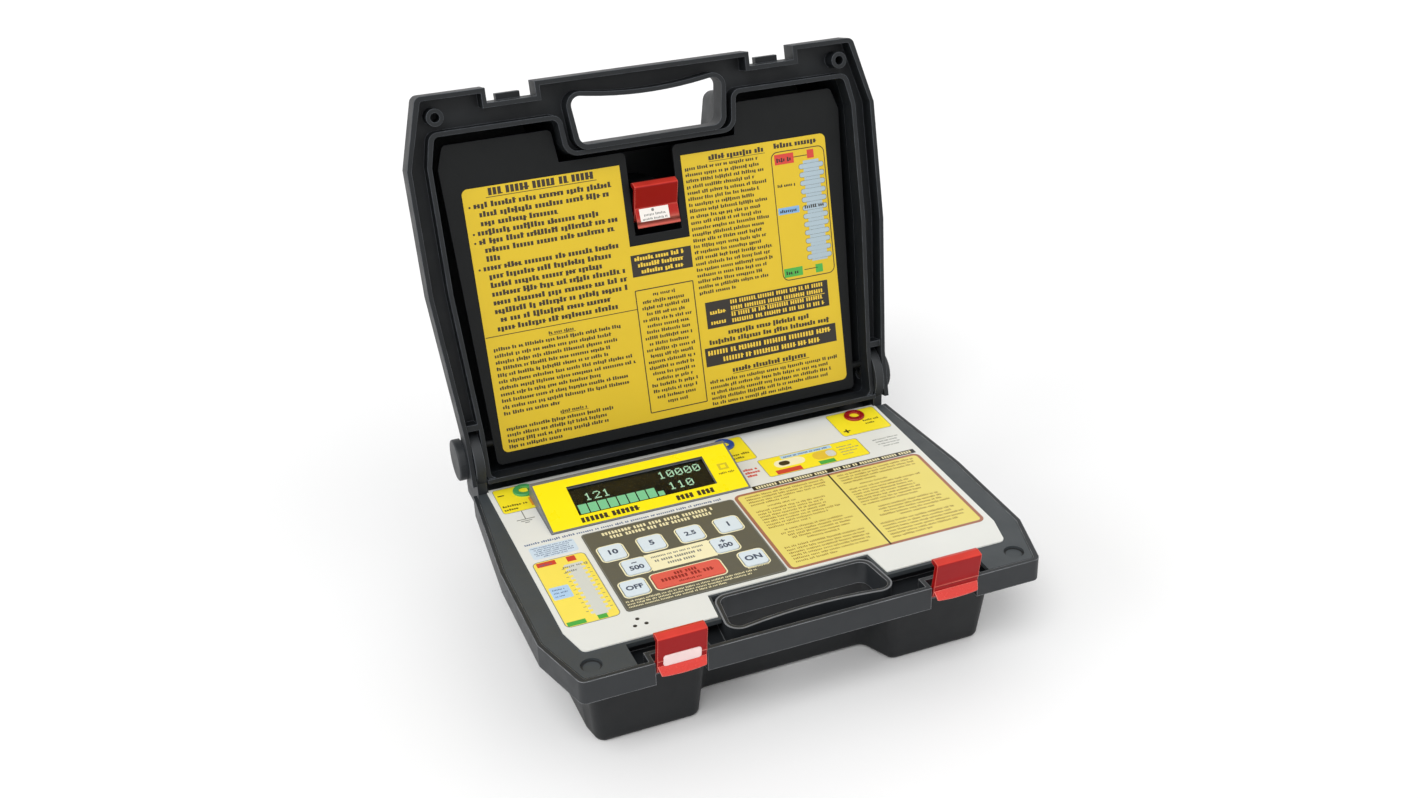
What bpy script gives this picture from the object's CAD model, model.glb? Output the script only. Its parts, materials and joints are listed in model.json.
"""Looks for the insulation resistance tester: camera, studio, materials, printed films and legends.

Lengths are written in millimetres, and MM, solid() and legend() turn them into the frame's metres. Lettering
that names a maker, a model or a warning is left off; plain strokes stand where the films carry running text.
"""
import json
import math
import random

import bmesh
import bpy
from mathutils import Matrix, Vector


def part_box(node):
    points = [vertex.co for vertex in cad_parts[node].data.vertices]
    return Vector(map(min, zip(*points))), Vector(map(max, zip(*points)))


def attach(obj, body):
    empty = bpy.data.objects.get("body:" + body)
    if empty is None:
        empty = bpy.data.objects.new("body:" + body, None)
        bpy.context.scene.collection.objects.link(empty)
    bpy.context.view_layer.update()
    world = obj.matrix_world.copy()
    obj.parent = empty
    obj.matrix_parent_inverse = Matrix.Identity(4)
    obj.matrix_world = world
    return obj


MM = 0.001
LID_OPEN = math.radians(-103)
HINGE = Vector((0, 114, 102.1)) * MM
FILM = 0.05         # thickness of a printed ground
TEXT = 0.09         # height of lettering over the surface
UPPER_TEXT = 0.13   # lettering on a ground that already lies on a ground
LEGEND_TOP = 0.06   # height of the keys' plain type
SUNK = -0.03        # prints start this far inside what carries them

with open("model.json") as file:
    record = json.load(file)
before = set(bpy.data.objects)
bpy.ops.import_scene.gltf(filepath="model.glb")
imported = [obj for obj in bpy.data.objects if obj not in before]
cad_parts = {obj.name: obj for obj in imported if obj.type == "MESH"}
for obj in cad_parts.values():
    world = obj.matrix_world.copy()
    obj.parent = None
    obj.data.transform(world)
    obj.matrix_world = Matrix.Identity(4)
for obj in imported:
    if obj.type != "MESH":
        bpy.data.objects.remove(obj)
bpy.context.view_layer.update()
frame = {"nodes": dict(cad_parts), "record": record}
nodes = frame["nodes"]


# ---------------------------------------------------------------- colours and materials

def ink(red, green, blue):
    """An sRGB colour, 0 to 255, as linear RGBA."""
    def linear(c):
        c /= 255
        return c / 12.92 if c <= 0.04045 else ((c + 0.055) / 1.055) ** 2.4
    return (linear(red), linear(green), linear(blue), 1)


def shade(colour, factor):
    return tuple(min(1, c * factor) for c in colour[:3]) + (1,)


class Shader:
    """A Principled material with its nodes laid in by short calls."""

    def __init__(self, name, roughness=0.5, specular=0.5):
        self.material = bpy.data.materials.new(name)
        self.material.use_nodes = True
        self.tree = self.material.node_tree
        self.main = self.tree.nodes["Principled BSDF"]
        self.main.inputs["Roughness"].default_value = roughness
        self.main.inputs["Specular IOR Level"].default_value = specular
        self.place = self.node("ShaderNodeTexCoord").outputs["Object"]

    def node(self, kind, **settings):
        made = self.tree.nodes.new(kind)
        for key, setting in settings.items():
            setattr(made, key, setting)
        return made

    def link(self, out, socket):
        self.tree.links.new(out, socket)

    def noise(self, size, detail=3.0, stretch=None):
        """Noise with features about size mm across, 0 to 1."""
        source = self.place
        if stretch:
            mapping = self.node("ShaderNodeMapping")
            mapping.inputs["Scale"].default_value = stretch
            self.link(source, mapping.inputs["Vector"])
            source = mapping.outputs["Vector"]
        made = self.node("ShaderNodeTexNoise")
        made.inputs["Scale"].default_value = 1 / (size * MM)
        made.inputs["Detail"].default_value = detail
        self.link(source, made.inputs["Vector"])
        return made.outputs["Fac"]

    def ramp(self, source, low, high, first, second):
        """Maps low..high of a value on to first..second."""
        made = self.node("ShaderNodeMapRange")
        for key, setting in (("From Min", low), ("From Max", high), ("To Min", first), ("To Max", second)):
            made.inputs[key].default_value = setting
        self.link(source, made.inputs["Value"])
        return made.outputs["Result"]

    def mix(self, factor, first, second):
        made = self.node("ShaderNodeMix", data_type="RGBA")
        self.link(factor, made.inputs["Factor"])
        for socket, colour in ((made.inputs[6], first), (made.inputs[7], second)):
            if isinstance(colour, tuple):
                socket.default_value = colour
            else:
                self.link(colour, socket)
        return made.outputs[2]

    def bump(self, height, strength, depth, normal=None):
        made = self.node("ShaderNodeBump")
        made.inputs["Strength"].default_value = strength
        made.inputs["Distance"].default_value = depth * MM
        self.link(height, made.inputs["Height"])
        if normal:
            self.link(normal, made.inputs["Normal"])
        return made.outputs["Normal"]

    def edges(self, radius):
        """How near a surface point is to a sharp edge, 0 to 1, and the normal that rounds it off."""
        soft = self.node("ShaderNodeBevel", samples=6)
        soft.inputs["Radius"].default_value = radius * MM
        flat = self.node("ShaderNodeNewGeometry")
        dot = self.node("ShaderNodeVectorMath", operation="DOT_PRODUCT")
        self.link(soft.outputs["Normal"], dot.inputs[0])
        self.link(flat.outputs["Normal"], dot.inputs[1])
        return self.ramp(dot.outputs["Value"], 1.0, 0.8, 0.0, 1.0), soft.outputs["Normal"]

    def finish(self, colour, roughness=None, normal=None):
        self.link(colour, self.main.inputs["Base Color"])
        if roughness:
            self.link(roughness, self.main.inputs["Roughness"])
        if normal:
            self.link(normal, self.main.inputs["Normal"])
        return self.material


def moulded(name, colour, roughness=0.5, grain=0.35, grain_size=0.55, mottle=0.08, rim=None, radius=0.7,
            specular=0.5, worn_edges=True):
    """Moulded plastic: fine spark-eroded grain, faint flow marks, scuffs and, if asked, paler worn edges."""
    made = Shader(name, specular=specular)
    cloud = made.noise(38, 4)
    tone = made.mix(cloud, shade(colour, 1 - mottle), shade(colour, 1 + mottle))
    scuff = made.ramp(made.noise(6, 6, (1, 0.25, 1)), 0.62, 0.75, 0, 0.5)
    tone = made.mix(scuff, tone, shade(colour, 1.12))
    soft = None
    if worn_edges:
        near, soft = made.edges(radius)
        worn = made.node("ShaderNodeMath", operation="MULTIPLY")
        made.link(near, worn.inputs[0])
        made.link(made.ramp(made.noise(9, 3), 0.35, 0.6, 0.45, 1.0), worn.inputs[1])
        tone = made.mix(worn.outputs["Value"], tone, rim or shade(colour, 1.5))
    rough = made.ramp(made.noise(14, 5), 0.3, 0.7, roughness - 0.06, roughness + 0.07)
    return made.finish(tone, rough, made.bump(made.noise(grain_size, 2), grain, 0.05, soft))


def glossy(name, colour, roughness=0.2, mottle=0.06, rim=None, specular=0.5):
    """Smooth shiny plastic with slight waviness, fine handling marks and paler edges."""
    made = Shader(name, specular=specular)
    tone = made.mix(made.noise(22, 3), shade(colour, 1 - mottle), shade(colour, 1 + mottle))
    near, soft = made.edges(0.6)
    tone = made.mix(near, tone, rim or shade(colour, 1.25))
    rough = made.ramp(made.noise(3, 6, (1, 0.3, 1)), 0.45, 0.75, roughness, roughness + 0.14)
    return made.finish(tone, rough, made.bump(made.noise(5, 2), 0.12, 0.08, soft))


def enamel(name, colour, raised, rim, roughness):
    """Smooth red plastic: deep on upright faces, paler where a face looks up, with bright edges."""
    made = Shader(name, specular=0.18)
    facing = made.node("ShaderNodeSeparateXYZ")
    made.link(made.node("ShaderNodeNewGeometry").outputs["Normal"], facing.inputs[0])
    upward = made.ramp(facing.outputs["Z"], 0.25, 0.7, 0, 1)
    tone = made.mix(upward, colour, raised)
    near, soft = made.edges(0.9)
    tone = made.mix(near, tone, rim)
    tone = made.mix(made.ramp(made.noise(26, 3), 0.4, 0.7, 0, 0.3), tone, shade(colour, 0.8))
    rough = made.ramp(made.noise(12, 4), 0.4, 0.75, roughness, roughness + 0.1)
    return made.finish(tone, rough, soft)


def printed(name, colour, roughness=0.42, mottle=0.035):
    """A printed film: slight unevenness of the ink and a fine orange-peel surface."""
    made = Shader(name)
    tone = made.mix(made.noise(30, 4), shade(colour, 1 - mottle), shade(colour, 1 + mottle))
    speck = made.ramp(made.noise(0.9, 2), 0.66, 0.8, 0, 0.35)
    tone = made.mix(speck, tone, shade(colour, 0.9))
    rough = made.ramp(made.noise(11, 4), 0.3, 0.7, roughness - 0.05, roughness + 0.08)
    return made.finish(tone, rough, made.bump(made.noise(1.6, 2), 0.12, 0.03))


def metal(name, colour, roughness=0.3):
    """Turned or drawn metal with fine marks and slight tarnish."""
    made = Shader(name)
    made.main.inputs["Metallic"].default_value = 1
    tone = made.mix(made.noise(7, 5), shade(colour, 0.8), shade(colour, 1.08))
    lines = made.noise(0.4, 3, (1, 1, 0.08))
    rough = made.ramp(lines, 0.3, 0.7, roughness - 0.08, roughness + 0.12)
    return made.finish(tone, rough, made.bump(lines, 0.2, 0.03))


def laminated(name, colour):
    """A lacquered stack of iron sheets."""
    made = Shader(name, roughness=0.45)
    sheets = made.node("ShaderNodeTexWave", bands_direction="X")
    sheets.inputs["Scale"].default_value = 320
    sheets.inputs["Distortion"].default_value = 0.6
    made.link(made.place, sheets.inputs["Vector"])
    tone = made.mix(sheets.outputs["Fac"], shade(colour, 0.7), shade(colour, 1.25))
    return made.finish(tone, None, made.bump(sheets.outputs["Fac"], 0.4, 0.1))


def solder_mask(name):
    """Green board with darker tracks under the mask."""
    made = Shader(name, roughness=0.35)
    tracks = made.node("ShaderNodeTexVoronoi", feature="DISTANCE_TO_EDGE", distance="MANHATTAN")
    tracks.inputs["Scale"].default_value = 130
    made.link(made.place, tracks.inputs["Vector"])
    line = made.ramp(tracks.outputs["Distance"], 0.04, 0.09, 1, 0)
    tone = made.mix(line, ink(22, 88, 48), ink(38, 120, 66))
    return made.finish(tone, None, made.bump(line, 0.25, 0.04))


def jacket(name):
    """A dry cell's printed jacket: dark body with a paler band of small wear marks."""
    made = Shader(name, roughness=0.3)
    made.main.inputs["Metallic"].default_value = 0.5
    tone = made.mix(made.ramp(made.noise(12, 5), 0.4, 0.6, 0, 1), ink(58, 60, 66), ink(84, 88, 96))
    return made.finish(tone, None, made.bump(made.noise(2, 3), 0.15, 0.04))


def pane(name):
    """The display's smoked window: mostly clear, with the gloss of its front."""
    made = Shader(name, roughness=0.08)
    made.main.inputs["Alpha"].default_value = 0.07
    made.main.inputs["Specular IOR Level"].default_value = 0.15
    smear = made.noise(18, 4)
    tone = made.mix(smear, ink(6, 9, 10), ink(14, 19, 21))
    rough = made.ramp(smear, 0.3, 0.7, 0.05, 0.16)
    return made.finish(tone, rough, made.bump(made.noise(9, 2), 0.05, 0.03))


def glowing(name, colour, strength):
    """Lit display dots; the phosphor's coverage varies a little."""
    made = Shader(name, roughness=0.5)
    tone = made.mix(made.noise(1.2, 3), shade(colour, 0.82), shade(colour, 1.05))
    made.link(tone, made.main.inputs["Emission Color"])
    made.main.inputs["Emission Strength"].default_value = strength
    made.main.inputs["Base Color"].default_value = shade(colour, 0.2)
    return made.material


CASE_GREY = ink(32, 35, 38)
LOOKS = {
    "case_plastic": moulded("case_plastic", CASE_GREY, 0.5, rim=ink(124, 129, 136), specular=0.4),
    "deck_plastic": moulded("deck_plastic", ink(56, 61, 64), 0.52, mottle=0.16, worn_edges=False),
    "door_plastic": moulded("door_plastic", ink(15, 17, 18), 0.5, grain=0.25, rim=ink(58, 61, 66),
                            specular=0.2),
    "panel_print": printed("panel_print", ink(228, 229, 224)),
    "keypad_print": printed("keypad_print", ink(90, 88, 76), 0.5),
    "display_yellow": printed("display_yellow", ink(252, 232, 12), 0.3),
    "display_grey": moulded("display_grey", ink(104, 106, 110), 0.42, rim=ink(160, 162, 166)),
    "display_clear": pane("display_clear"),
    "display_glass": glossy("display_glass", ink(9, 14, 15), 0.15),
    "circuit_board": solder_mask("circuit_board"),
    "black_plastic": moulded("black_plastic", ink(30, 30, 31), 0.5),
    "socket_green": glossy("socket_green", ink(70, 156, 88), 0.28),
    "socket_blue": glossy("socket_blue", ink(44, 74, 150), 0.28),
    "socket_red": glossy("socket_red", ink(150, 24, 26), 0.25),
    "brass": metal("brass", ink(214, 186, 116), 0.28),
    "core_iron": laminated("core_iron", ink(84, 86, 92)),
    "potting": moulded("potting", ink(40, 40, 43), 0.35, grain=0.15, grain_size=3),
    "cell_can": jacket("cell_can"),
    "spring_steel": metal("spring_steel", ink(196, 198, 202), 0.3),
    "screw_steel": metal("screw_steel", ink(92, 92, 94), 0.35),
    "latch_red": enamel("latch_red", ink(148, 8, 12), ink(212, 60, 48), ink(236, 120, 106), 0.28),
    "label_yellow": printed("label_yellow", ink(216, 184, 30), 0.42),
    "key_blue": printed("key_blue", ink(218, 230, 238), 0.45),
    "key_red": printed("key_red", ink(224, 92, 80), 0.4),
}
INKS = {
    "brown": printed("ink_brown", ink(48, 36, 18)),
    "black": printed("ink_black", ink(32, 26, 18)),
    "pale_yellow": printed("ink_pale_yellow", ink(232, 216, 116)),
    "sharp_yellow": printed("ink_sharp_yellow", ink(252, 232, 40)),
    "gold": printed("ink_gold", ink(232, 196, 60)),
    "panel_border": printed("ink_panel_border", ink(164, 108, 84)),
    "muted": printed("ink_muted", ink(146, 112, 40)),
    "slate": printed("ink_slate", ink(70, 96, 138)),
    "haze": printed("ink_haze", ink(206, 222, 236)),
    "diagram_yellow": printed("ink_diagram_yellow", ink(248, 226, 92)),
    "pale_blue": printed("ink_pale_blue", ink(176, 208, 238)),
    "light_blue": printed("ink_light_blue", ink(126, 170, 214)),
    "grey": printed("ink_grey", ink(120, 122, 118)),
    "pale_grey": printed("ink_pale_grey", ink(212, 214, 206)),
    "fin_grey": printed("ink_fin_grey", ink(168, 186, 196)),
    "red": printed("ink_red", ink(206, 62, 48)),
    "green": printed("ink_green", ink(70, 168, 66)),
    "cream": printed("ink_cream", ink(246, 238, 196)),
    "cream_text": printed("ink_cream_text", ink(240, 230, 184)),
    "key_text": printed("ink_key_text", ink(52, 66, 92)),
    "test_text": printed("ink_test_text", ink(140, 26, 28)),
    "white": printed("ink_white", ink(236, 232, 226)),
    "orange": printed("ink_orange", ink(226, 150, 40)),
    "worn_grey": printed("ink_worn_grey", ink(116, 118, 121), 0.5, mottle=0.12),
    "soot": printed("ink_soot", ink(20, 21, 22), 0.6),
    "olive": printed("ink_olive", ink(206, 188, 40)),
    "lit": glowing("display_lit", ink(186, 232, 194), 1.0),
    "lit_bar": glowing("display_lit_bar", ink(128, 206, 150), 0.95),
    "lip_red": glossy("latch_lip_red", ink(206, 52, 42), 0.22, rim=ink(246, 170, 158), specular=0.4),
    "worn_pink": glossy("latch_worn_pink", ink(238, 212, 210), 0.3, mottle=0.1, rim=ink(246, 236, 234)),
}


# ---------------------------------------------------------------- flat shapes

def rect(x0, y0, x1, y1):
    return [(x0, y0), (x1, y0), (x1, y1), (x0, y1)]


def rounded(x0, y0, x1, y1, radius, steps=5):
    """A rectangle with round corners, counter-clockwise."""
    outline = []
    corners = ((x1 - radius, y0 + radius, -90), (x1 - radius, y1 - radius, 0),
               (x0 + radius, y1 - radius, 90), (x0 + radius, y0 + radius, 180))
    for x, y, start in corners:
        for step in range(steps + 1):
            turn = math.radians(start + 90 * step / steps)
            outline.append((x + radius * math.cos(turn), y + radius * math.sin(turn)))
    return outline


def circle(x, y, radius, step=20):
    turns = (math.radians(turn) for turn in range(0, 360, step))
    return [(x + radius * math.cos(turn), y + radius * math.sin(turn)) for turn in turns]


def softened(corners, steps=8):
    """A closed outline whose corners, given as x, y and radius, are rounded off."""
    outline = []
    for i, (x, y, radius) in enumerate(corners):
        here = Vector((x, y))
        back = (Vector(corners[i - 1][:2]) - here).normalized()
        ahead = (Vector(corners[(i + 1) % len(corners)][:2]) - here).normalized()
        half = back.angle(ahead) / 2
        middle = here + (back + ahead).normalized() * (radius / math.sin(half))
        first = here + back * (radius / math.tan(half)) - middle
        last = here + ahead * (radius / math.tan(half)) - middle
        for step in range(steps + 1):
            outline.append(tuple(middle + first.lerp(last, step / steps).normalized() * radius))
    return outline


# a row of strokes: sizes are shares of its height, and the last three say how many strokes have what
LETTER_PITCH = 0.66
LOW_LETTER = 0.74
TAIL = 0.2
BAR = 0.16
BAR_LEVELS = (0, 0.3, 0.58)
TALL_SHARE = 0.28
TAIL_SHARE = 0.1
BAR_SHARE = 0.34
# shares of the pitch
BAR_REACH = 1.02
WORD_GAP = 0.75
# the last row of a paragraph is short by this share of its width, or up to twice that
LAST_SHORT = 0.3


class Print:
    """Closed prisms of one ink on one surface, gathered into one mesh."""

    def __init__(self):
        self.points = []
        self.faces = []

    def prism(self, outline, high=FILM, low=SUNK):
        first, count = len(self.points), len(outline)
        self.points += [(x, y, low) for x, y in outline] + [(x, y, high) for x, y in outline]
        self.faces.append([first + i for i in reversed(range(count))])
        self.faces.append([first + count + i for i in range(count)])
        for i in range(count):
            following = (i + 1) % count
            self.faces.append([first + i, first + following, first + count + following, first + count + i])
        return self

    def ring(self, outer, inner, high=FILM, low=SUNK):
        """A band between two outlines with the same number of points."""
        first, count = len(self.points), len(outer)
        for outline, level in ((outer, low), (outer, high), (inner, high), (inner, low)):
            self.points += [(x, y, level) for x, y in outline]
        for lap in range(4):
            here, there = first + lap * count, first + (lap + 1) % 4 * count
            for i in range(count):
                following = (i + 1) % count
                self.faces.append([here + i, here + following, there + following, there + i])
        return self

    def band(self, x0, y0, x1, y1, radius, width, high=FILM):
        inner = max(radius - width, 0.2)
        return self.ring(rounded(x0, y0, x1, y1, radius),
                         rounded(x0 + width, y0 + width, x1 - width, y1 - width, inner), high)

    def words(self, x0, x1, base, height, seed, high=TEXT, bold=0.6, longest=9, even=False):
        """A row of word-shaped groups of plain strokes, all of one height where asked."""
        chance = random.Random(seed)
        pitch = height * LETTER_PITCH
        x = x0
        while x + pitch < x1:
            for _ in range(chance.randint(2, longest)):
                if x + pitch > x1:
                    break
                top = height if even or chance.random() < TALL_SHARE else height * LOW_LETTER
                drop = height * TAIL if not even and chance.random() < TAIL_SHARE else 0
                stem = x + pitch * bold
                self.prism(rect(x, base - drop, stem, base + top), high)
                if chance.random() < BAR_SHARE:
                    level = base + chance.choice(BAR_LEVELS) * height
                    self.prism(rect(stem, level, x + pitch * BAR_REACH, level + height * BAR), high)
                x += pitch
            x += pitch * WORD_GAP
        return self

    def paragraph(self, x0, x1, top, rows, pitch, height, seed, high=TEXT, ragged=0.25, centred=False, **kw):
        """Rows of words under each other; some rows end early."""
        chance = random.Random(seed)
        room = x1 - x0
        for row in range(rows):
            if row < rows - 1:
                short = room * ragged * chance.random()
            else:
                short = room * (LAST_SHORT + LAST_SHORT * chance.random())
            left = x0 + short / 2 if centred else x0
            right = x1 - short / 2 if centred else x1 - short
            self.words(left, right, top - row * pitch, height, seed * 100 + row, high, **kw)
        return self


def show(name, mesh, body, material):
    """Puts a mesh into the scene, riding on a body and standing in a material slot."""
    mesh.materials.clear()
    mesh.materials.append(material)
    made = bpy.data.objects.new(name, mesh)
    bpy.context.scene.collection.objects.link(made)
    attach(made, body)


def solid(name, points, faces, place, body, material):
    """Turns points in mm into a closed mesh that rides on a body."""
    mesh = bpy.data.meshes.new(name)
    mesh.from_pydata([place @ (Vector(p) * MM) for p in points], [], faces)
    tidy = bmesh.new()
    tidy.from_mesh(mesh)
    bmesh.ops.recalc_face_normals(tidy, faces=tidy.faces)
    tidy.to_mesh(mesh)
    tidy.free()
    show(name, mesh, body, material)


def lay(name, drawn, place, body, colour):
    solid(name, drawn.points, drawn.faces, place, body, INKS.get(colour) or LOOKS[colour])


CAPITAL = 0.7      # a capital's share of the type's size
HEAVIER = 0.045    # the type is widened by this share of its height


def legend(name, text, x, y, height, place, body, colour):
    """A number, ON or OFF in plain type, centred on x, y."""
    curve = bpy.data.curves.new(name, "FONT")
    curve.body = text
    curve.size = height / CAPITAL * MM
    curve.align_x = "CENTER"
    curve.align_y = "CENTER"
    curve.extrude = (LEGEND_TOP - SUNK) / 2 * MM
    curve.offset = height * HEAVIER * MM
    curve.resolution_u = 3
    source = bpy.data.objects.new(name, curve)
    mesh = bpy.data.meshes.new_from_object(source)
    bpy.data.objects.remove(source)
    mesh.transform(place @ Matrix.Translation(Vector((x, y, (LEGEND_TOP + SUNK) / 2)) * MM))
    tidy = bmesh.new()
    tidy.from_mesh(mesh)
    bmesh.ops.remove_doubles(tidy, verts=tidy.verts, dist=1e-6)
    tidy.to_mesh(mesh)
    tidy.free()
    show(name, mesh, body, INKS[colour])


# ---------------------------------------------------------------- surfaces that carry prints

PLATE_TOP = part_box("faceplate")[1].z
KEYPAD_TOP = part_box("keypad_frame")[1].z
ON_PLATE = Matrix.Translation((0, 0, PLATE_TOP))
ON_KEYPAD = Matrix.Translation((0, 0, KEYPAD_TOP))
DISPLAY_LOW, DISPLAY_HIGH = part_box("display_housing")
FACE_LIFT = 0.9 * MM   # the sloping face starts this far over the plate
FACE_FOOT = Vector((0, DISPLAY_LOW.y, PLATE_TOP + FACE_LIFT))
FACE_RUN = 48.1 * MM
FACE_SLOPE = math.atan2(DISPLAY_HIGH.z - FACE_FOOT.z, FACE_RUN)
FACE_LENGTH = math.hypot(DISPLAY_HIGH.z - FACE_FOOT.z, FACE_RUN) / MM
ON_FACE = Matrix.Translation(FACE_FOOT) @ Matrix.Rotation(FACE_SLOPE, 4, "X")
LABEL_FACE = 94.9 * MM
SHUT_TO_OPEN = Matrix.Translation(HINGE) @ Matrix.Rotation(LID_OPEN, 4, "X") @ Matrix.Translation(-HINGE)
# on the lid's label x runs right and y runs up as the open lid shows it
ON_LABEL = SHUT_TO_OPEN @ Matrix.Translation((0, 0, LABEL_FACE)) @ Matrix.Rotation(math.pi, 4, "X")


# ---------------------------------------------------------------- prints on the faceplate

def plate(name, drawn, colour):
    lay(name, drawn, ON_PLATE, "case", colour)


FIN_COUNT = 12
FIN_TOP = TEXT + 0.01
SCALE_MARKS = 11


def fins(drawn, left, right, foot, pitch, thick, radius):
    """Fins of a drawn insulator, one above the other."""
    for step in range(FIN_COUNT):
        y = foot + step * pitch
        drawn.prism(rounded(left, y, right, y + thick, radius), FIN_TOP)


def diagram_panel():
    """Left panel: connection diagram with coloured tags and a finned insulator."""
    left, right, low, high = -144.5, -109.5, -77.5, -2
    plate("diagram_ground", Print().prism(rounded(left, low, right, high, 4)), "diagram_yellow")
    plate("diagram_outline", Print().band(left, low, right, high, 4, 0.5, TEXT), "grey")
    column = Print().prism(rect(-124, -72, -116, -12), TEXT)
    fins(column, -126.4, -113.6, -69.5, 5, 2.6, 1.1)
    plate("diagram_column", column, "pale_grey")
    ticks = Print()
    for step in range(SCALE_MARKS):
        y = -66.2 + step * 5
        ticks.prism(rect(-128.6, y, -126.8, y + 0.5), TEXT)
        ticks.prism(rect(-113.2, y, -111.4, y + 0.5), TEXT)
    ticks.paragraph(-127.5, -110.5, -15.5, 2, 5.2, 2, 21, UPPER_TEXT, ragged=0.1, bold=0.52)
    plate("diagram_ticks", ticks, "grey")
    tags = Print().prism(rect(-142, -8.4, -129.6, -3.4), TEXT).prism(rect(-122.4, -9.2, -116.6, -3.4), TEXT)
    plate("diagram_red_tags", tags, "red")
    tags = Print().prism(rect(-143, -76.4, -131.2, -72), TEXT).prism(rect(-123.6, -76.4, -117.6, -72), TEXT)
    plate("diagram_green_tags", tags, "green")
    plate("diagram_blue_tag", Print().prism(rounded(-142.6, -47, -130, -33, 1), TEXT), "pale_blue")
    lines = Print().paragraph(-141, -131.4, -37, 3, 3.6, 1.4, 22, UPPER_TEXT, ragged=0.1, bold=0.52)
    lines.words(-140.2, -131.4, -7.1, 1.6, 23, UPPER_TEXT, bold=0.52)
    plate("diagram_tag_rows", lines, "slate")


def text_panel():
    """Right panel: two columns of small rows under a dark title bar."""
    left, right, low, high = 2.5, 143.6, -77.6, 19.8
    plate("rules_ground", Print().prism(rounded(left, low, right, high, 5)), "pale_yellow")
    border = Print().band(left, low, right, high, 5, 2.3, TEXT)
    plate("rules_border", border, "panel_border")
    plate("rules_divider", Print().prism(rect(73, low + 0.6, 74.2, high - 0.4), TEXT), "brown")
    rows = Print()
    for column, (x0, x1) in enumerate(((9.5, 69), (78.5, 138))):
        rows.paragraph(x0, x1, 13.5, 4, 3.5, 1.9, 31 + column, ragged=0.1, bold=0.56)
        rows.paragraph(x0 + 10, x1 - 8, -1.8, 1, 3.5, 1.7, 33 + column, bold=0.5)
        rows.paragraph(x0, x1, -6.2, 7, 3.5, 1.9, 35 + column, bold=0.52)
        rows.paragraph(x0 + 4, x1 - 2, -33.4, 5, 3.5, 1.9, 37 + column, centred=True, bold=0.52)
        rows.paragraph(x0, x1, -53.2, 6, 3.5, 1.9, 39 + column, ragged=0.15, bold=0.52)
    plate("rules_rows", rows, "muted")
    plate("rules_title_bar", Print().prism(rect(19, 20.7, 143.2, 25.9), TEXT), "black")
    title = Print().words(21.5, 76, 21.8, 3, 41, UPPER_TEXT, even=True)
    title.words(80, 141, 21.8, 3, 42, UPPER_TEXT, even=True)
    plate("rules_title", title, "cream_text")


def fuse_panel():
    """Small panel between the blue and red sockets: a cell, a fuse holder and their tags."""
    plate("fuse_ground", Print().prism(rounded(36, 32.2, 113.4, 56.8, 2)), "sharp_yellow")
    plate("fuse_outline", Print().band(36, 32.2, 113.4, 56.8, 2, 0.4, TEXT), "grey")
    plate("fuse_pale_shape", Print().prism(rounded(45, 41, 68, 50.6, 4.6), TEXT), "cream")
    plate("fuse_dark_shape", Print().prism(rounded(48.5, 43, 56.5, 48.8, 2.8), UPPER_TEXT), "brown")
    plate("fuse_red_tag", Print().prism(rect(42.5, 33.2, 61.8, 38.6), TEXT), "red")
    plate("fuse_cylinder", Print().prism(rounded(74.2, 39.4, 92.4, 50.4, 5), TEXT), "gold")
    plate("fuse_cylinder_end", Print().prism(rounded(84.6, 40.6, 91.4, 49.2, 3.2), UPPER_TEXT), "pale_grey")
    plate("fuse_green_tag", Print().prism(rect(75.2, 33.2, 87.2, 38), TEXT), "green")
    plate("fuse_blue_tag", Print().prism(rect(53, 51.6, 92, 55.6), TEXT), "pale_blue")
    rows = Print().words(55, 90, 52.5, 2, 51, UPPER_TEXT)
    rows.paragraph(95, 111, 49.5, 4, 3.6, 1.3, 52, bold=0.52)
    plate("fuse_rows", rows, "slate")


def socket_labels():
    """Yellow labels under the three sockets, with a plus or a minus and generic rows."""
    ground = Print().prism(rounded(-144.6, 62.4, -121, 95, 2.5)).prism(rounded(19.4, 60.4, 38.6, 94.4, 2.5))
    ground.prism(rounded(106.5, 61.5, 145.4, 94.8, 2.5))
    plate("socket_label_ground", ground, "sharp_yellow")
    edge = Print().band(-144.6, 62.4, -121, 95, 2.5, 0.35, TEXT).band(19.4, 60.4, 38.6, 94.4, 2.5, 0.35, TEXT)
    edge.band(106.5, 61.5, 145.4, 94.8, 2.5, 0.35, TEXT)
    plate("socket_label_outline", edge, "grey")
    sign = Print().prism(rect(-142.6, 85.6, -138.2, 86.8), TEXT)
    sign.prism(rect(109.5, 67.6, 114.7, 68.9), TEXT).prism(rect(111.45, 65.6, 112.75, 70.9), TEXT)
    sign.paragraph(-142.8, -124.5, 70.4, 2, 4.6, 2.4, 61, ragged=0.05)
    sign.paragraph(21, 37.4, 69.4, 2, 4.6, 2.4, 62, ragged=0.05)
    sign.paragraph(129.5, 143.6, 76.6, 2, 4.4, 2.2, 63, ragged=0.05)
    plate("socket_label_rows", sign, "brown")
    plate("socket_label_tab", Print().prism(rect(-124, 66, -120.7, 77), UPPER_TEXT), "orange")


def earth_sign():
    """Plain earth symbol in front of the green socket."""
    sign = Print().prism(rect(-133.1, 51.6, -132.5, 62.2), TEXT)
    for level, half in ((51, 6.2), (48.8, 3.8), (46.6, 1.6)):
        sign.prism(rect(-132.8 - half, level, -132.8 + half, level + 0.7), TEXT)
    plate("earth_sign", sign, "grey")


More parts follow.
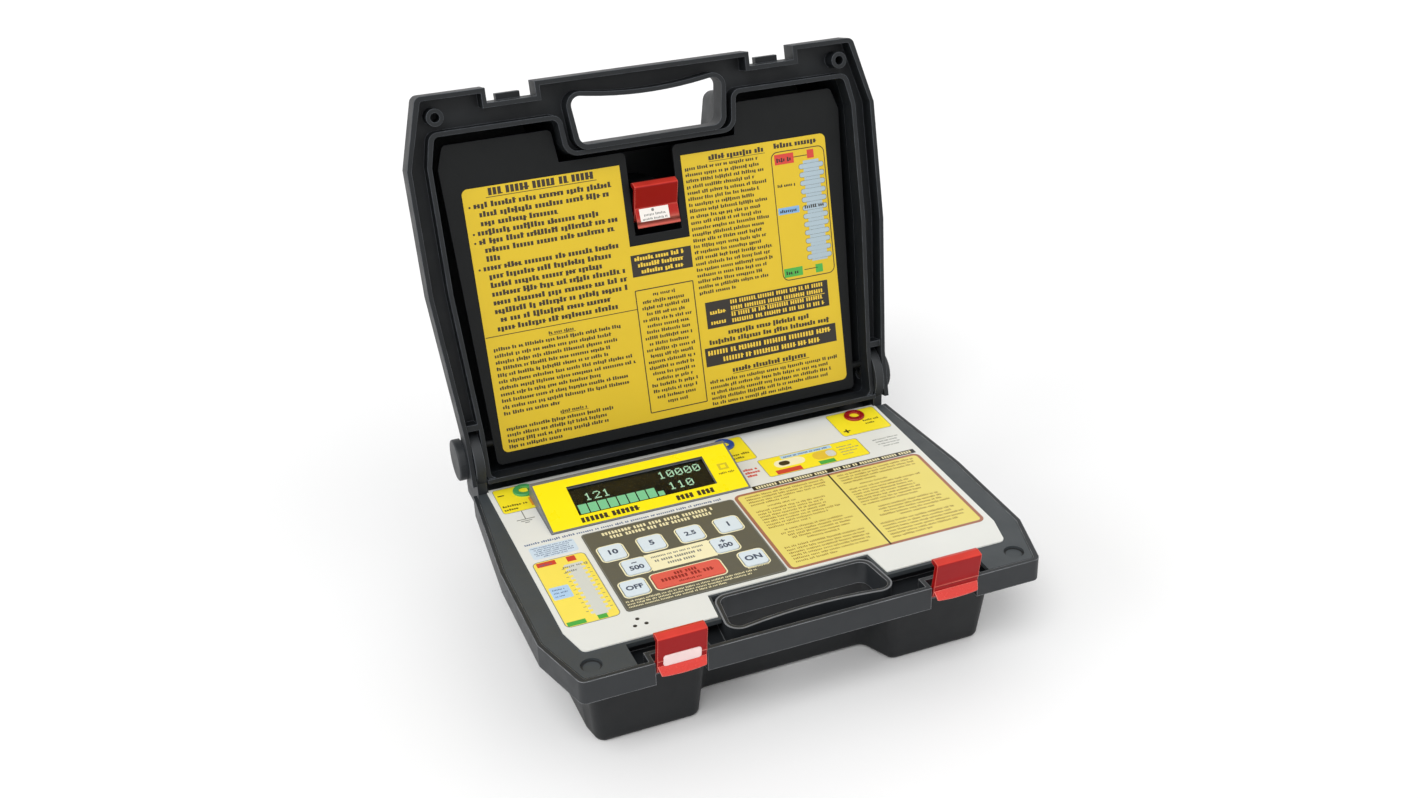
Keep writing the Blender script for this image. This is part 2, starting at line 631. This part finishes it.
def loose_rows():
    """Rows printed straight on the faceplate."""
    rows = Print().words(-142.6, -5, 19.2, 2.2, 71, bold=0.55)
    rows.paragraph(-140.5, -112, 13.6, 6, 2.2, 1.2, 72, ragged=0.2, centred=True, bold=0.52)
    plate("plate_blue_rows", rows, "slate")
    plate("plate_blue_ground", Print().prism(rounded(-141.6, 1.2, -111.4, 16, 2)), "haze")
    rows = Print().paragraph(121.5, 144, 47.8, 4, 3.4, 1.3, 73, ragged=0.4, centred=True, bold=0.52)
    plate("plate_grey_rows", rows, "grey")
    rows = Print().paragraph(22, 33.4, 46.6, 3, 4.2, 2.8, 74, ragged=0.05, bold=0.8)
    plate("plate_red_rows", rows, "red")


SOUND_X, SOUND_Y, SOUND_RING = -102.6, -89.9, 4.2
SOUND_EDGE, SOUND_MOUTH = 1.3, 0.96
GAUZE_TOP, GAUZE_FOOT = -0.1, -0.4


def sound_rings():
    """Dark edges of the three sound holes, and the black gauze in them."""
    rings = Print()
    for turn in (0, 120, 240):
        x = SOUND_X + SOUND_RING * math.sin(math.radians(turn))
        y = SOUND_Y + SOUND_RING * math.cos(math.radians(turn))
        rings.ring(circle(x, y, SOUND_EDGE), circle(x, y, SOUND_MOUTH), TEXT)
        rings.prism(circle(x, y, SOUND_MOUTH), GAUZE_TOP, GAUZE_FOOT)
    plate("sound_rings", rings, "black")


# ---------------------------------------------------------------- wear on the deck

DECK_TOP = 82.3
DIMPLE_FLOOR = DECK_TOP - 1.6
DIMPLE_X, DIMPLE_Y, DIMPLE_RADIUS = 141.6, -116.2, 6.5
DIRT_WIDTH = 1.3
# the handle hole: the arc of its front edge bows in, and its sides lean in towards the back
HOLE_FRONT, HOLE_BACK = -118.2, -85.5
HOLE_FRONT_HALF, HOLE_BACK_HALF = 53.7, 49.6
HOLE_CORNER, HOLE_BOW = 6, 280
HOLE_MIDDLE = HOLE_FRONT + 8
WEAR_OUTSIDE, WEAR_INSIDE, WEAR_TOP = 3.35, 2.3, 0.04


def handle_outline(grow):
    """Edge of the handle hole, moved outward by grow."""
    front, back = HOLE_FRONT - grow, HOLE_BACK + grow
    wide, narrow = HOLE_FRONT_HALF + grow, HOLE_BACK_HALF + grow
    corner = HOLE_CORNER + grow
    return softened([(0, HOLE_MIDDLE - grow, HOLE_BOW - grow), (wide, front, corner), (narrow, back, corner),
                     (-narrow, back, corner), (-wide, front, corner)])


def deck_wear():
    """Pale worn edge round the handle pocket, where the shut lid touches it, and dirt in the dimples."""
    worn = Print().ring(handle_outline(WEAR_OUTSIDE), handle_outline(WEAR_INSIDE), WEAR_TOP)
    place = Matrix.Translation((0, 0, DECK_TOP * MM))
    lay("handle_worn_edge", worn, place, "case", "worn_grey")
    dirt = Print()
    for side in (-1, 1):
        dirt.ring(circle(side * DIMPLE_X, DIMPLE_Y, DIMPLE_RADIUS),
                  circle(side * DIMPLE_X, DIMPLE_Y, DIMPLE_RADIUS - DIRT_WIDTH))
    place = Matrix.Translation((0, 0, DIMPLE_FLOOR * MM))
    lay("dimple_dirt", dirt, place, "case", "soot")


# ---------------------------------------------------------------- keypad and keys

def keypad(name, drawn, colour):
    lay(name, drawn, ON_KEYPAD, "case", colour)


def key_centre(node):
    low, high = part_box(node)
    return (low.x + high.x) / 2 / MM, (low.y + high.y) / 2 / MM, high.z


KEY_FLANGE = 1.2   # hidden flange round a key's cap
KEY_GAP = 0.5      # between a cap and the line round it
KEY_LINE = 0.9     # width of that line
KEY_CORNER = 3
KEY_NODES = [name for name in nodes if name.startswith("key_") and name != "key_switches"]


def key_half_size(node):
    """Half width and half depth of a key's cap, without its hidden flange."""
    low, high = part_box(node)
    return (high.x - low.x) / 2 / MM - KEY_FLANGE, (high.y - low.y) / 2 / MM - KEY_FLANGE


def key_borders():
    """Cream lines round the key openings, and the cream bar between the two 500 keys with its rows."""
    rings, bar = Print(), Print()
    for node in KEY_NODES:
        x, y, _ = key_centre(node)
        half_x, half_y = (half + KEY_GAP for half in key_half_size(node))
        grown_x, grown_y = half_x + KEY_LINE, half_y + KEY_LINE
        rings.ring(rounded(x - grown_x, y - grown_y, x + grown_x, y + grown_y, KEY_CORNER + KEY_LINE),
                   rounded(x - half_x, y - half_y, x + half_x, y + half_y, KEY_CORNER), TEXT)
    keypad("key_borders", rings, "cream")
    left, y, _ = key_centre("key_minus_500v")
    right = key_centre("key_plus_500v")[0]
    half_x, half_y = (half + KEY_GAP for half in key_half_size("key_minus_500v"))
    bar.prism(rect(left + half_x, y - half_y - KEY_LINE, right - half_x, y + half_y + KEY_LINE))
    keypad("key_bar", bar, "cream")
    rows = Print()
    for base, x0, x1, height in ((-28.6, -73, -37, 1.7), (-33.6, -72, -39, 2.4), (-38.6, -65, -46, 2.4)):
        rows.words(x0, x1, base, height, int(-base * 10), even=True)
    keypad("key_bar_rows", rows, "grey")


def keypad_rows():
    """Title rows and small rows on the keypad's field, and the line round it."""
    rows = Print().words(-93, -13, 9.4, 3.4, 81, even=True).words(-89, -17, 4.4, 3.4, 82, even=True)
    rows.paragraph(-103.4, -8, -68.2, 3, 2.9, 1.6, 83, ragged=0.15, bold=0.5)
    rows.words(-21, -6, -65.2, 1.4, 84, bold=0.5)
    keypad("keypad_rows", rows, "cream_text")
    keypad("keypad_outline", Print().band(-105.6, -76.6, 0.6, 16.1, 2.2, 0.45, TEXT), "grey")


def key_legends():
    """Numbers, signs, OFF and ON on the keys, and plain rows on the test key."""
    legends = {"key_10kv": "10", "key_5kv": "5", "key_2_5kv": "2.5", "key_1kv": "1",
               "key_minus_500v": "500", "key_plus_500v": "500", "key_off": "OFF", "key_on": "ON"}
    for node, text in legends.items():
        x, y, top = key_centre(node)
        steps = "500" in text
        place = Matrix.Translation((0, 0, top))
        tall = 5.2 if len(text) < 3 else 4.5
        legend(f"{node}_legend", text, x, y - (2 if steps else 0), tall, place, node, "key_text")
        if steps:
            sign = Print().prism(rect(x - 1.8, y + 3.4, x + 1.8, y + 4.3), TEXT)
            if "plus" in node:
                sign.prism(rect(x - 0.45, y + 2.05, x + 0.45, y + 5.65), TEXT)
            lay(f"{node}_sign", sign, place, node, "key_text")
    x, y, top = key_centre("key_test")
    rows = Print().words(x - 8, x + 8, y + 2.6, 3, 91, even=True)
    rows.words(x - 18, x + 18, y - 2, 3.4, 92, even=True).words(x - 8, x + 8, y - 5.9, 1.8, 93, bold=0.6)
    lay("key_test_rows", rows, Matrix.Translation((0, 0, top)), "key_test", "test_text")


# ---------------------------------------------------------------- display

DIGITS = {
    "0": ("01110", "10001", "10011", "10101", "11001", "10001", "01110"),
    "1": ("00100", "01100", "00100", "00100", "00100", "00100", "01110"),
    "2": ("01110", "10001", "00001", "00010", "00100", "01000", "11111"),
}
DOT = 0.86
DOT_STEP = 1.02
DIGIT_STEP = 6.4
SCREEN_SINK = 2.2            # the lit screen lies this far behind the face
SCREEN_THICK = 0.07
WINDOW_Y = (35.6, 64.4)      # where the film is cut out for the window
BAR_COUNT = 8
BAR_STEP = 6.9


def dots(drawn, text, x, y):
    """Dot-matrix figures with their lower left corner at x, y."""
    for place, figure in enumerate(text):
        for row, line in enumerate(DIGITS[figure]):
            for column, lit in enumerate(line):
                if lit == "1":
                    left = x + place * DIGIT_STEP + column * DOT_STEP
                    low = y + (6 - row) * DOT_STEP
                    drawn.prism(rect(left, low, left + DOT, low + DOT), TEXT)


def display():
    """Yellow film round the window with its rows, and the screen with lit figures and bars behind it."""
    left, right = DISPLAY_LOW.x / MM, DISPLAY_HIGH.x / MM
    window_low, window_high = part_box("display_window")
    slope = math.cos(FACE_SLOPE)
    up = [(y - FACE_FOOT.y / MM) / slope for y in WINDOW_Y]
    hole = rect(window_low.x / MM, up[0], window_high.x / MM, up[1])
    film = Print().ring(rect(left + 1.3, 0.9, right - 1.3, FACE_LENGTH - 1.2), hole)
    lay("display_film", film, ON_FACE, "case", "display_yellow")
    rows = Print().words(-100.5, -56, 3.2, 4.8, 95, TEXT, bold=0.7, longest=7, even=True)
    rows.words(-33.5, -5, 3.2, 4.8, 96, TEXT, bold=0.7, longest=7, even=True)
    rows.words(2.6, 14.4, 18.4, 1.8, 97, TEXT, bold=0.5)
    lay("display_rows", rows, ON_FACE, "case", "brown")
    mark = Print().ring(rect(4.4, 22.4, 11.6, 28.8), rect(6.2, 24, 9.8, 27.2), TEXT)
    lay("display_mark", mark, ON_FACE, "case", "olive")
    on_glass = ON_FACE @ Matrix.Translation((0, 0, -SCREEN_SINK * MM))
    panel = Print().prism(rect(window_low.x / MM + 0.3, up[0] + 0.3, window_high.x / MM - 0.3, up[1] - 0.3),
                          0, -SCREEN_THICK)
    lay("display_screen", panel, on_glass, "case", "display_glass")
    lit = Print()
    dots(lit, "121", -91, up[0] + 14.6)
    dots(lit, "10000", -37, up[0] + 18.6)
    dots(lit, "110", -33.5, up[0] + 6.4)
    lay("display_figures", lit, on_glass, "case", "lit")
    blocks = Print()
    for step in range(BAR_COUNT):
        x = -98 + step * BAR_STEP
        blocks.prism(rect(x, up[0] + 3, x + 6, up[0] + 12), TEXT)
    blocks.prism(rect(-42.6, up[0] + 3, -38.4, up[0] + 7.4), TEXT)
    lay("display_bars", blocks, on_glass, "case", "lit_bar")


# ---------------------------------------------------------------- latches

LIP_PROFILE = ((-130.4, 79.8), (-131.5, 79.8), (-132.8, 77.8), (-134.4, 74.8), (-134.6, 73.8), (-134.1, 73.2),
               (-133.3, 73.6), (-132.2, 75.6), (-130.2, 76.4))
LIP_TOP = 79.8
LIP_HEIGHT = 6.6
LIP_HALF = 15.3
LIP_SAG = 1.2
LIP_TAPER = 1.4              # the lip's lower corners draw in by this much
LIP_STEPS = 12
LATCH_CENTRE = 91
PATCH_CENTRE = Vector((-LATCH_CENTRE, -131.9, 84))
FRONT_FACE_TURN = math.radians(100)
PATCH_HIGH, PATCH_LOW = 0.75, -0.3
STICKER_CENTRE = Vector((-1.6, 137.75, 245.5))
DOOR_LIP_TURN = math.radians(66.4)
STICKER_HIGH, STICKER_LOW = 0.12, -0.2
STICKER_TEXT = 0.2


def latch_lips():
    """Finger lips that stand out from the front latches and sag a little in the middle."""
    count = len(LIP_PROFILE)
    for side, body in ((-1, "latch_left"), (1, "latch_right")):
        points, faces = [], []
        for step in range(LIP_STEPS + 1):
            along = 2 * step / LIP_STEPS - 1
            inset = LIP_TAPER * along ** 8
            for y, z in LIP_PROFILE:
                low = (LIP_TOP - z) / LIP_HEIGHT
                drop = LIP_SAG * low * (along * along)
                points.append((side * LATCH_CENTRE + along * (LIP_HALF - inset * low), y, z + drop))
        for step in range(LIP_STEPS):
            here, there = step * count, (step + 1) * count
            for i in range(count):
                following = (i + 1) % count
                faces.append([here + i, here + following, there + following, there + i])
        faces.append(list(range(count)))
        faces.append([LIP_STEPS * count + i for i in reversed(range(count))])
        solid(f"{body}_lip", points, faces, Matrix.Identity(4), body, INKS["lip_red"])


def latch_prints():
    """Pale worn patch on the left latch, and the plain sticker on the door's latch."""
    place = Matrix.Translation(PATCH_CENTRE * MM) @ Matrix.Rotation(FRONT_FACE_TURN, 4, "X")
    patch = Print().prism(rounded(-11.8, -4.4, 11.8, 3.8, 1.8), PATCH_HIGH, PATCH_LOW)
    lay("latch_left_patch", patch, place, "latch_left", "worn_pink")
    place = Matrix.Translation(STICKER_CENTRE * MM) @ Matrix.Rotation(DOOR_LIP_TURN, 4, "X")
    sticker = Print().prism(rect(-11, -4.2, 10, 4.6), STICKER_HIGH, STICKER_LOW)
    lay("door_latch_sticker", sticker, place, "door_latch", "white")
    rows = Print().prism(rounded(-2.4, 2, -0.4, 4, 0.95), STICKER_TEXT)
    rows.words(-8, 8, -0.6, 1.6, 98, STICKER_TEXT, bold=0.5)
    rows.words(-9.4, 9, -3.4, 1.4, 99, STICKER_TEXT, bold=0.5)
    lay("door_latch_rows", rows, place, "door_latch", "grey")


# ---------------------------------------------------------------- label in the lid

def label(name, drawn, colour):
    lay(name, drawn, ON_LABEL, "door", colour)


# rows of the left column: indents, and how much shorter each row is; one without indent starts a new point
POINT_ROWS = ((0, 2), (1, 4), (1, 40), (0, 12), (0, 0), (1, 6), (1, 84), (0, 2), (1, 8), (1, 16), (1, 0),
              (1, 0), (1, 0), (2, 14), (1, 10))
POINT_PITCH = 5.95
POINT_INDENT = 3


def lid_label_text():
    """Rows of dark strokes laid out as on such a lid: headings, columns and an outlined box."""
    rows = Print().words(-113, -38, 61, 4.8, 1, bold=0.72, longest=8, even=True)
    rows.prism(rect(-115, 59.6, -39, 60), TEXT)
    for row, (indent, short) in enumerate(POINT_ROWS):
        base = 53.6 - row * POINT_PITCH
        rows.words(-124 + indent * POINT_INDENT, -25 - short, base, 3.7, 100 + row, bold=0.7)
        if not indent:
            rows.prism(rounded(-127.4, base + 0.5, -126, base + 1.9, 0.6), TEXT)
    rows.prism(rect(-130, -33, -22.8, -32.5), TEXT)
    rows.words(-87, -68, -38.4, 2.2, 2)
    rows.prism(rect(-87, -39.2, -68, -38.9), TEXT)
    rows.paragraph(-126, -27, -43, 11, 4.5, 2.5, 3, ragged=0.3, bold=0.64)
    rows.words(-87, -67, -94.4, 2.2, 4).prism(rect(-87, -95.2, -67, -94.9), TEXT)
    rows.paragraph(-126, -30, -99.2, 4, 4.2, 2.5, 5, ragged=0.3, bold=0.64)
    # outlined box in the middle
    rows.band(-22.8, -108.6, 20.4, -19.6, 0.8, 0.7, TEXT)
    rows.words(-10, 8, -25.2, 2.2, 6)
    rows.paragraph(-19.8, 17.4, -30, 18, 4.3, 2.4, 7, ragged=0.3, centred=True, bold=0.62)
    # right column
    rows.words(42, 84, 60.8, 3.6, 8, bold=0.72).prism(rect(42, 59.6, 84, 59.9), TEXT)
    rows.paragraph(24, 84, 56, 22, 4.15, 2.4, 9, ragged=0.18, bold=0.62)
    rows.words(91, 125, 61.4, 3.6, 10, bold=0.72, longest=7)
    rows.words(42, 107, -62.8, 3.4, 11, bold=0.7).words(27, 122, -68.2, 3.4, 12, bold=0.7)
    rows.words(42, 102, -91, 3.6, 13, bold=0.7).prism(rect(42, -92.2, 102, -91.8), TEXT)
    rows.paragraph(24, 126, -96.4, 5, 4, 2.4, 14, ragged=0.1, bold=0.62)
    label("label_rows", rows, "brown")


def lid_label_blocks():
    """Dark blocks with yellow rows."""
    blocks = Print().prism(rect(-22.6, -10.4, 21.6, 4.8)).prism(rect(27, -56.6, 122, -37.4))
    blocks.prism(rect(22.8, -83.8, 125.2, -70.2))
    label("label_dark_blocks", blocks, "black")
    rows = Print()
    for row in range(3):
        rows.words(-20 + row * 2, 18 - row, 0.6 - row * 4.6, 3, 150 + row, bold=0.7)
    for row in range(4):
        rows.words(46, 119, -41.4 - row * 4.5, 2.8, 160 + row, even=True)
    rows.prism(rect(46, -47.2, 119, -46.8), TEXT)
    rows.words(30, 42, -46.6, 3, 170).words(30, 42, -54, 3, 171)
    rows.words(25, 123, -75.8, 3.4, 172, even=True).words(36, 112, -81.8, 3.4, 173, even=True)
    label("label_light_rows", rows, "gold")


def lid_diagram():
    """Connection diagram at the right: finned insulator with coloured tags."""
    label("label_diagram_outline", Print().band(88, -33, 129, 59, 5, 0.6, TEXT), "brown")
    column = Print().prism(rect(112, -22, 124, 50), TEXT)
    foot, pitch = -20.5, 5.9
    fins(column, 108.6, 127.4, foot, pitch, 3.3, 1.6)
    label("label_diagram_column", column, "fin_grey")
    edge = Print()
    for step in range(FIN_COUNT):
        y = foot + step * pitch
        edge.band(108.4, y - 0.2, 127.6, y + 3.5, 1.7, 0.3, TEXT)
    label("label_diagram_edges", edge, "brown")
    tags = Print().prism(rect(90.6, 49.8, 105.2, 57), TEXT).prism(rect(115.6, 51.2, 120.8, 57.2), TEXT)
    label("label_red_tags", tags, "red")
    tags = Print().prism(rect(89.4, -30.6, 103.8, -24.2), TEXT).prism(rect(114, -30.8, 119.6, -24.8), TEXT)
    label("label_green_tags", tags, "green")
    label("label_blue_tag", Print().prism(rect(89.6, 14.6, 105.8, 19.4), TEXT), "light_blue")
    lines = Print().words(92, 104, 51.8, 2.6, 180, UPPER_TEXT).words(91, 102, -28.8, 2.6, 181, UPPER_TEXT)
    lines.words(91, 104.4, 15.8, 2.2, 182, UPPER_TEXT).words(91, 105, 34, 2, 183)
    lines.words(110, 126, 16.2, 2.4, 184, UPPER_TEXT)
    for level in (53.4, -27.4):
        lines.prism(rect(105.2, level, 115.6, level + 0.5), TEXT)
    label("label_diagram_rows", lines, "black")


# ---------------------------------------------------------------- studio

PICTURE_WIDTH = 1420
FOCAL_LENGTH = 1621.25 / PICTURE_WIDTH   # this and the shifts are shares of the picture's width
SHIFT_ACROSS, SHIFT_UP = -70.4 / PICTURE_WIDTH, 52.48 / PICTURE_WIDTH
SENSOR = 36
AZIMUTH, ELEVATION, ROLL = -23.34, 30.19, -0.75
TARGET = Vector((113.18, 193.11, 0))
DISTANCE = 1315.35


def camera():
    """Camera at the angle, distance and lens at which the object was seen."""
    azimuth, elevation, roll = (math.radians(turn) for turn in (AZIMUTH, ELEVATION, ROLL))
    back = Vector((math.sin(azimuth) * math.cos(elevation), -math.cos(azimuth) * math.cos(elevation),
                   math.sin(elevation)))
    right = (-back).cross(Vector((0, 0, 1))).normalized()
    up = right.cross(-back)
    across = right * math.cos(roll) + up * math.sin(roll)
    upward = -right * math.sin(roll) + up * math.cos(roll)
    data = bpy.data.cameras.new("camera")
    data.sensor_width = SENSOR
    data.lens = FOCAL_LENGTH * SENSOR
    data.shift_x = SHIFT_ACROSS
    data.shift_y = SHIFT_UP
    data.clip_start, data.clip_end = 0.01, 30
    made = bpy.data.objects.new("camera", data)
    turn = Matrix((across, upward, back)).transposed()
    made.matrix_world = Matrix.Translation(TARGET * MM + back * (DISTANCE * MM)) @ turn.to_4x4()
    bpy.context.scene.collection.objects.link(made)
    bpy.context.scene.camera = made


def floor():
    """A wide pale floor, its top at height zero."""
    size, thickness = 8.0, 0.02
    shape = bmesh.new()
    bmesh.ops.create_cube(shape, size=1)
    bmesh.ops.scale(shape, vec=(size, size, thickness), verts=shape.verts)
    bmesh.ops.translate(shape, vec=(0, 0, -thickness / 2), verts=shape.verts)
    mesh = bpy.data.meshes.new("floor")
    shape.to_mesh(mesh)
    shape.free()
    made = bpy.data.objects.new("floor", mesh)
    bpy.context.scene.collection.objects.link(made)
    paint = Shader("floor_paper", roughness=0.9, specular=0.1)
    tone = paint.mix(paint.noise(300, 3), (0.985, 0.985, 0.985, 1), (1.0, 1.0, 1.0, 1))
    mesh.materials.append(paint.finish(tone))


AMBIENT = 0.62   # the world's light on the object; seen directly or in a reflection it is white
# name, strength, softness and turn of each sun
SUNS = (("key", 1.25, 30, (38, 0, -35)), ("fill", 0.35, 60, (55, 0, 40)), ("left", 0.9, 40, (70, 0, -84)))


def lights():
    """Even white surroundings and three soft suns."""
    world = bpy.data.worlds.new("studio")
    bpy.context.scene.world = world
    world.use_nodes = True
    tree = world.node_tree
    background = tree.nodes["Background"]
    path = tree.nodes.new("ShaderNodeLightPath")
    seen = path.outputs["Is Camera Ray"]
    for ray in ("Is Glossy Ray", "Is Transmission Ray"):
        larger = tree.nodes.new("ShaderNodeMath")
        larger.operation = "MAXIMUM"
        tree.links.new(seen, larger.inputs[0])
        tree.links.new(path.outputs[ray], larger.inputs[1])
        seen = larger.outputs[0]
    level = tree.nodes.new("ShaderNodeMapRange")
    level.inputs["To Min"].default_value = AMBIENT
    level.inputs["To Max"].default_value = 1.0
    tree.links.new(seen, level.inputs["Value"])
    background.inputs["Color"].default_value = (1, 1, 1, 1)
    tree.links.new(level.outputs["Result"], background.inputs["Strength"])
    for name, strength, soft, turn in SUNS:
        data = bpy.data.lights.new(name, "SUN")
        data.energy = strength
        data.angle = math.radians(soft)
        made = bpy.data.objects.new(name, data)
        made.rotation_euler = [math.radians(a) for a in turn]
        bpy.context.scene.collection.objects.link(made)
    bpy.context.scene.view_settings.view_transform = "Standard"


# nodes whose shade of case plastic differs; worn edges would draw a line along seams that don't show
SEAMLESS = moulded("case_plastic_seamless", ink(22, 24, 26), 0.5, worn_edges=False, specular=0.3)
WORN_RIM = moulded("case_plastic_worn_rim", CASE_GREY, 0.5, rim=ink(158, 160, 164), radius=0.9, specular=0.4)
LID_LOOK = moulded("case_plastic_lid", ink(23, 26, 29), 0.5, rim=ink(98, 103, 110), specular=0.3)
NODE_LOOKS = {
    "base_shell": SEAMLESS,
    "base_front": SEAMLESS,
    "base_rim": WORN_RIM,
    "lid_rim": LID_LOOK,
    "lid_shell": LID_LOOK,
}


def paint_nodes():
    """Gives every CAD node its own look, or else the look of its material slot."""
    slots = {row["node"]: row["material_slot"] for row in frame["record"]["subparts"]}
    for name, made in nodes.items():
        if not made.material_slots:
            made.data.materials.append(None)
        look = NODE_LOOKS.get(name) or LOOKS[slots[name]]
        for held in made.material_slots:
            held.link = "OBJECT"
            held.material = look


paint_nodes()
diagram_panel()
text_panel()
fuse_panel()
socket_labels()
earth_sign()
loose_rows()
sound_rings()
deck_wear()
key_borders()
keypad_rows()
key_legends()
display()
latch_lips()
latch_prints()
lid_label_text()
lid_label_blocks()
lid_diagram()
floor()
lights()
camera()
